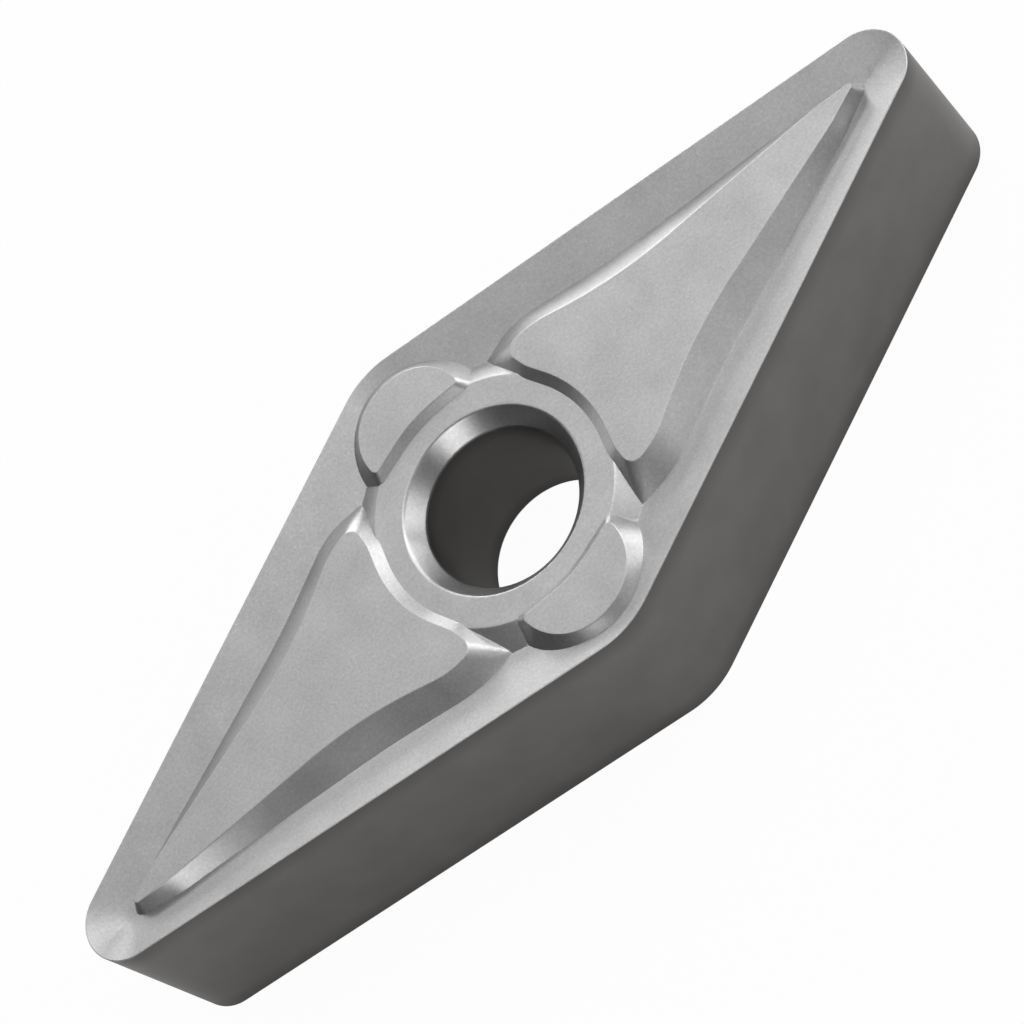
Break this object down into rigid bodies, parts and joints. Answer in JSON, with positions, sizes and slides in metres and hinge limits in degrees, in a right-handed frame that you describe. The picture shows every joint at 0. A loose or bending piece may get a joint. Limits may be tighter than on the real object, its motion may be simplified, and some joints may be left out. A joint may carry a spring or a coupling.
{
  "type": "carbide turning insert",
  "caption": "Double-sided rhombic turning insert of uncoated carbide with a chamfered clamping hole, sloping rims and raised arrow and half-moon seats.",
  "frame": {"origin": "on the axis of the clamping hole, in the plane of the lower seat faces", "axes": "+X along the long diagonal towards one cutting point, +Y along the short diagonal, +Z along the hole, out of the upper face"},
  "size_m": [0.027, 0.0098, 0.0048],
  "materials": {
    "carbide": "satin, as sintered and ground, uncoated"
  },
  "bodies": {
    "root": {"insert": "carbide"}
  },
  "joints": []
}
